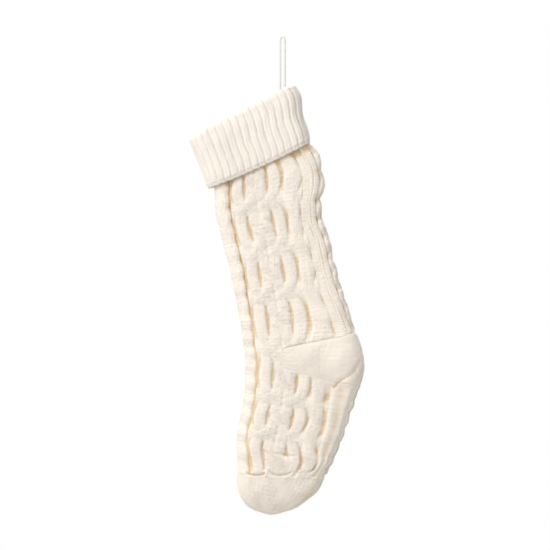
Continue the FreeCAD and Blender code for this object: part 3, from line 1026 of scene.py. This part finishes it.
def tubes_object(name, lines, radius, sides=8, closed=False):
    """One piece made of several tubes."""
    verts, faces = [], []
    for points in lines:
        more, shape = tube_faces(points, radius, sides, closed)
        faces += [tuple(v + len(verts) for v in face) for face in shape]
        verts += more.tolist()
    mesh = bpy.data.meshes.new(name)
    mesh.from_pydata(verts, [], faces)
    mesh.polygons.foreach_set("use_smooth", [True] * len(faces))
    mesh.attributes.new("crest", "FLOAT", "POINT").data.foreach_set("value", [0.9] * len(verts))
    mesh.update()
    return placed(name, mesh)


def evenly(points, spacing):
    """Points at even distances along a line."""
    gaps = np.linalg.norm(np.diff(points, axis=0), axis=1)
    along = np.concatenate([[0], np.cumsum(gaps)])
    want = np.linspace(0, along[-1], max(2, round(along[-1] / spacing)) + 1)
    return want, np.stack([np.interp(want, along, points[:, k]) for k in range(3)], -1)


CORD_STEP = 0.0004  # spacing of the cord's mesh along it, in metres
PLIES = 3
PLY_RADIUS = 0.00076
TWIST_RADIUS = 0.00064
TWIST_PITCH = 0.0062
loop_line = points_along(ROUTE)
loop_along, loop_even = evenly(loop_line, CORD_STEP)
loop_side, loop_up = frames_along(loop_even)
plies = []
for ply in range(PLIES):
    turn = 2 * math.pi * (loop_along / TWIST_PITCH + ply / PLIES)
    offset = loop_side * np.cos(turn)[:, None] + loop_up * np.sin(turn)[:, None]
    plies.append(loop_even + TWIST_RADIUS * offset)
loop = tubes_object("hanging_loop", plies, PLY_RADIUS, 8)

KNOT_SIZE = 0.00078
KNOT_RADIUS = 0.0012  # of the cord in the knot
way = np.linspace(0, 2 * math.pi, 120, endpoint=False)
knot_line = np.stack([
    np.sin(way) + 2 * np.sin(2 * way),
    1.4 * np.sin(3 * way),
    np.cos(way) - 2 * np.cos(2 * way),
], -1) * KNOT_SIZE + np.array((0, 0, KNOT_LEVEL * MM))
knot = tubes_object("loop_knot_tied", [knot_line], KNOT_RADIUS, 12, closed=True)

THREAD_GAP = 0.0009  # between the three threads that sew the loop in
THREAD_RADIUS = 0.0005
stitch_lines = []
for lane in (-THREAD_GAP, 0.0, THREAD_GAP):
    stitch_route = (
        (lane, 0.0030, -0.0672),
        (lane * 1.4, 0.0060, -0.0660),
        (lane * 1.2, 0.0095, -0.0664),
        (lane, 0.0120, -0.0672),
    )
    stitch_lines.append(evenly(points_along(stitch_route), CORD_STEP)[1])
stitch = tubes_object("loop_stitch_yarn", stitch_lines, THREAD_RADIUS, 8)

# ---------------- camera, light and stage

scene = bpy.context.scene
VIEW_CENTRE = (-0.009, -0.2844)
VIEW_WIDTH = 0.66
VIEW_DISTANCE = 4.5
LIT_POINT = (-0.01, 0, -0.3)  # what the lights face

camera_data = bpy.data.cameras.new("camera")
camera_data.sensor_width = 36
camera_data.lens = camera_data.sensor_width * VIEW_DISTANCE / VIEW_WIDTH
camera = placed("camera", camera_data)
camera.location = (VIEW_CENTRE[0], -VIEW_DISTANCE, VIEW_CENTRE[1])
camera.rotation_euler = (math.radians(90), 0, 0)
scene.camera = camera


def area_light(name, place, power, size, colour):
    """A square light that faces the middle of the stocking."""
    data = bpy.data.lights.new(name, "AREA")
    data.energy = power
    data.size = size
    data.color = colour
    lamp = placed(name, data)
    lamp.location = place
    way_there = Vector(np.array(LIT_POINT) - np.array(place))
    lamp.rotation_euler = way_there.to_track_quat("-Z", "Y").to_euler()


area_light("key", (-0.95, -1.1, 0.8), 13.0, 0.45, (1.0, 0.985, 0.965))
area_light("rim", (0.7, 2.2, 1.0), 48, 0.9, (1.0, 0.99, 0.98))


def node(tree, kind, out, inputs, **settings):
    """A new node fed by numbers, colours or other nodes' sockets; gives one of its outputs."""
    new = tree.nodes.new("ShaderNode" + kind)
    for name, value in settings.items():
        setattr(new, name, value)
    for name, value in inputs.items():
        if isinstance(value, bpy.types.NodeSocket):
            tree.links.new(value, new.inputs[name])
        else:
            new.inputs[name].default_value = value
    return new.outputs[out]


def ranged(tree, value, low, high, start=0.0, end=1.0):
    """A value between start and end brought between low and high."""
    limits = {"From Min": start, "From Max": end, "To Min": low, "To Max": high}
    return node(tree, "MapRange", "Result", {"Value": value, **limits})


SOFTBOX = (-0.50, -0.42, 0.757)  # the direction that the soft light comes from
BRIGHTEST = 1.42  # strength of the light from there
DIMMEST = 0.08  # and from the opposite side


def studio_world():
    """White behind the object; a soft light all round it, brightest from above on the left."""
    world = bpy.data.worlds.new("studio")
    world.use_nodes = True
    tree = world.node_tree
    light = tree.nodes["Background"]
    light.inputs["Color"].default_value = (1.0, 0.99, 0.975, 1)
    direction = node(tree, "TexCoord", "Generated", {})
    facing = node(tree, "VectorMath", "Value", {0: direction, 1: SOFTBOX}, operation="DOT_PRODUCT")
    level = ranged(tree, facing, DIMMEST, BRIGHTEST, -0.8, 0.8)
    tree.links.new(level, light.inputs["Strength"])
    behind = node(tree, "Background", "Background", {"Color": (1, 1, 1, 1), "Strength": 1.0})
    seen = node(tree, "LightPath", "Is Camera Ray", {})
    ways = {"Fac": seen, 1: light.outputs["Background"], 2: behind}
    both = node(tree, "MixShader", "Shader", ways)
    tree.links.new(both, tree.nodes["World Output"].inputs["Surface"])
    return world


scene.world = studio_world()
scene.view_settings.view_transform = "Standard"

FLOOR_LEVEL = -0.95
FLOOR_RADIUS = 1.3
FLOOR_SIDES = 64
floor_mesh = bpy.data.meshes.new("floor")
floor_ring = [
    (FLOOR_RADIUS * math.cos(a), FLOOR_RADIUS * math.sin(a), FLOOR_LEVEL)
    for a in np.linspace(0, 2 * math.pi, FLOOR_SIDES + 1)[:-1]
]
floor_mesh.from_pydata(floor_ring, [], [tuple(range(FLOOR_SIDES))])
floor = placed("floor", floor_mesh)
floor_material = bpy.data.materials.new("floor_paint")
floor_material.use_nodes = True
floor_shader = floor_material.node_tree.nodes["Principled BSDF"]
floor_shader.inputs["Base Color"].default_value = (0.55, 0.54, 0.525, 1)
floor_shader.inputs["Roughness"].default_value = 0.8
floor_mesh.materials.append(floor_material)

# ---------------- material


def soft_material(name, roughness, sheen):
    """A new material with a soft matt shader."""
    material = bpy.data.materials.new(name)
    material.use_nodes = True
    shader = material.node_tree.nodes["Principled BSDF"]
    shader.inputs["Roughness"].default_value = roughness
    shader.inputs["Sheen Weight"].default_value = sheen
    shader.inputs["Sheen Roughness"].default_value = 0.55
    shader.inputs["Specular IOR Level"].default_value = 0.2
    return material, shader, material.node_tree


def maths(tree, kind, *values):
    """One arithmetic node fed by sockets or plain numbers."""
    return node(tree, "Math", "Value", dict(enumerate(values)), operation=kind)


def raised(tree, shader, height, strength, distance):
    """A bump of a given height on a shader."""
    bump = node(tree, "Bump", "Normal", {"Strength": strength, "Distance": distance, "Height": height})
    tree.links.new(bump, shader.inputs["Normal"])


def noise_of(tree, place, scale, detail):
    """The value of a noise texture at a place."""
    return node(tree, "TexNoise", "Fac", {"Scale": scale, "Detail": detail, "Vector": place})


def tinted(tree, crest, deep, top, middle):
    """Colour along a ramp from deep to top; on the knit this is painted shade at the bottom of the
    crevices, turning to the yarn's own colour on its crests.
    """
    ramp = tree.nodes.new("ShaderNodeValToRGB")
    for element, place, colour in zip(ramp.color_ramp.elements, (0.26, middle), (deep, top)):
        element.position = place
        element.color = (*colour, 1)
    tree.links.new(crest, ramp.inputs["Fac"])
    return ramp.outputs["Color"]


def yarn_plies(tree, plies):
    """Slanting plies of the yarn on both legs of each stitch, from the stitch coordinates."""
    stitch = node(tree, "UVMap", "UV", {}, uv_map="yarn")
    parts = tree.nodes.new("ShaderNodeSeparateXYZ")
    tree.links.new(stitch, parts.inputs["Vector"])
    column = maths(tree, "FRACT", parts.outputs["X"])
    side = maths(tree, "ABSOLUTE", maths(tree, "SUBTRACT", column, 0.5))
    slant = maths(tree, "MULTIPLY", side, 1.1)
    row = maths(tree, "ADD", parts.outputs["Y"], slant)
    wave = maths(tree, "COSINE", maths(tree, "MULTIPLY", row, 2 * math.pi * plies))
    return maths(tree, "MULTIPLY", wave, 0.35)


def knit_material(name, deep, top, middle=0.62, plies=3):
    """Soft acrylic yarn, mottled, with plies and loose fibres, and painted shade, darker and more
    orange, in its crevices.
    """
    material, shader, tree = soft_material(name, 0.9, 0.3)
    crest = node(tree, "Attribute", "Fac", {}, attribute_name="crest")
    place = node(tree, "TexCoord", "Object", {})
    colour = tinted(tree, crest, deep, top, middle)
    tone = ranged(tree, noise_of(tree, place, 55, 3), 0.95, 1.03, 0.3, 0.7)
    mixed = node(tree, "VectorMath", "Vector", {0: colour, "Scale": tone}, operation="SCALE")
    tree.links.new(mixed, shader.inputs["Base Color"])
    fibres = noise_of(tree, place, 900, 5)
    tree.links.new(ranged(tree, fibres, 0.82, 0.98), shader.inputs["Roughness"])
    height = maths(tree, "ADD", yarn_plies(tree, plies), fibres)
    raised(tree, shader, height, 0.5, 0.0005)
    return material


def cord_material(name):
    """Smooth white cord with fine fibres along its twist."""
    material, shader, tree = soft_material(name, 0.7, 0.2)
    fibres = noise_of(tree, node(tree, "TexCoord", "Object", {}), 1400, 3)
    colour = tinted(tree, fibres, (0.60, 0.60, 0.57), (0.72, 0.72, 0.69), 0.7)
    tree.links.new(colour, shader.inputs["Base Color"])
    raised(tree, shader, fibres, 0.4, 0.0003)
    return material


# CREAM is the yarn's own colour; the crevice colour and the first colour of each knit below are painted
# shade for its hollows.
CREAM = (0.78, 0.72, 0.645)
PAINTED_CREVICE_SHADE = (0.70, 0.53, 0.335)
MATERIALS = {
    "cable_knit": knit_material("cable_knit_yarn", PAINTED_CREVICE_SHADE, CREAM),
    "plain_knit": knit_material("plain_knit_yarn", PAINTED_CREVICE_SHADE, (0.76, 0.695, 0.62), 0.55),
    "rib_knit": knit_material("rib_knit_yarn", (0.64, 0.545, 0.44), (0.785, 0.732, 0.67), 0.7),
    "linking_yarn": knit_material("linking_seam_yarn", (0.60, 0.49, 0.36), (0.77, 0.71, 0.63), 0.7, 2),
    "cord": cord_material("white_cord"),
}

# ---------------- what each piece is

# piece, body it rides or the two bodies at the ankle, CAD nodes it stands for, material slot, flat size
# in metres
PIECES = (
    (leg_front, ANKLE, ("leg_front",), "cable_knit", (0.126, 0.200)),
    (leg_back, ANKLE, ("leg_back",), "cable_knit", (0.130, 0.200)),
    (leg_seam_heel, ANKLE, ("leg_seam_heel",), "linking_yarn", None),
    (leg_seam_instep, ANKLE, ("leg_seam_instep",), "linking_yarn", None),
    (foot_front, ANKLE, ("foot_front",), "cable_knit", (0.126, 0.186)),
    (foot_back, ANKLE, ("foot_back",), "cable_knit", (0.130, 0.186)),
    (foot_seam_instep, ANKLE, ("foot_seam_instep",), "linking_yarn", None),
    (foot_seam_sole, ("foot",), ("foot_seam_sole",), "linking_yarn", None),
    (heel_front, ANKLE, ("heel_front",), "plain_knit", (0.098, 0.060)),
    (heel_back, ANKLE, ("heel_back",), "plain_knit", (0.100, 0.062)),
    (heel_seam, ANKLE, ("heel_seam",), "linking_yarn", None),
    (toe_front, ("foot",), ("toe_front",), "plain_knit", (0.105, 0.046)),
    (toe_back, ("foot",), ("toe_back",), "plain_knit", (0.105, 0.046)),
    (toe_seam, ("foot",), ("toe_seam",), "linking_yarn", None),
    (cuff_front, ("leg",), ("cuff_front",), "rib_knit", (0.162, 0.092)),
    (cuff_back, ("leg",), ("cuff_back",), "rib_knit", (0.162, 0.092)),
    (cuff_seam_instep, ("leg",), ("cuff_seam_instep",), "linking_yarn", None),
    (cuff_seam_heel, ("leg",), ("cuff_seam_heel",), "linking_yarn", None),
    (lining_front, ("leg",), ("cuff_lining_front",), "rib_knit", (0.140, 0.045)),
    (lining_back, ("leg",), ("cuff_lining_back",), "rib_knit", (0.140, 0.045)),
    (knot, ("loop_knot",), ("loop_knot",), "cord", None),
    (stitch, ("leg",), ("loop_stitch",), "cord", None),
)
for piece, bodies, nodes, slot, flat in PIECES:
    piece.data.materials.append(MATERIALS[slot])
    if len(bodies) == 2:
        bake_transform(piece)
    else:
        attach(piece, bodies[0])
    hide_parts(*nodes)
loop.data.materials.append(MATERIALS["cord"])
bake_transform(loop)
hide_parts("loop_eye", "loop_strand_left", "loop_strand_right")
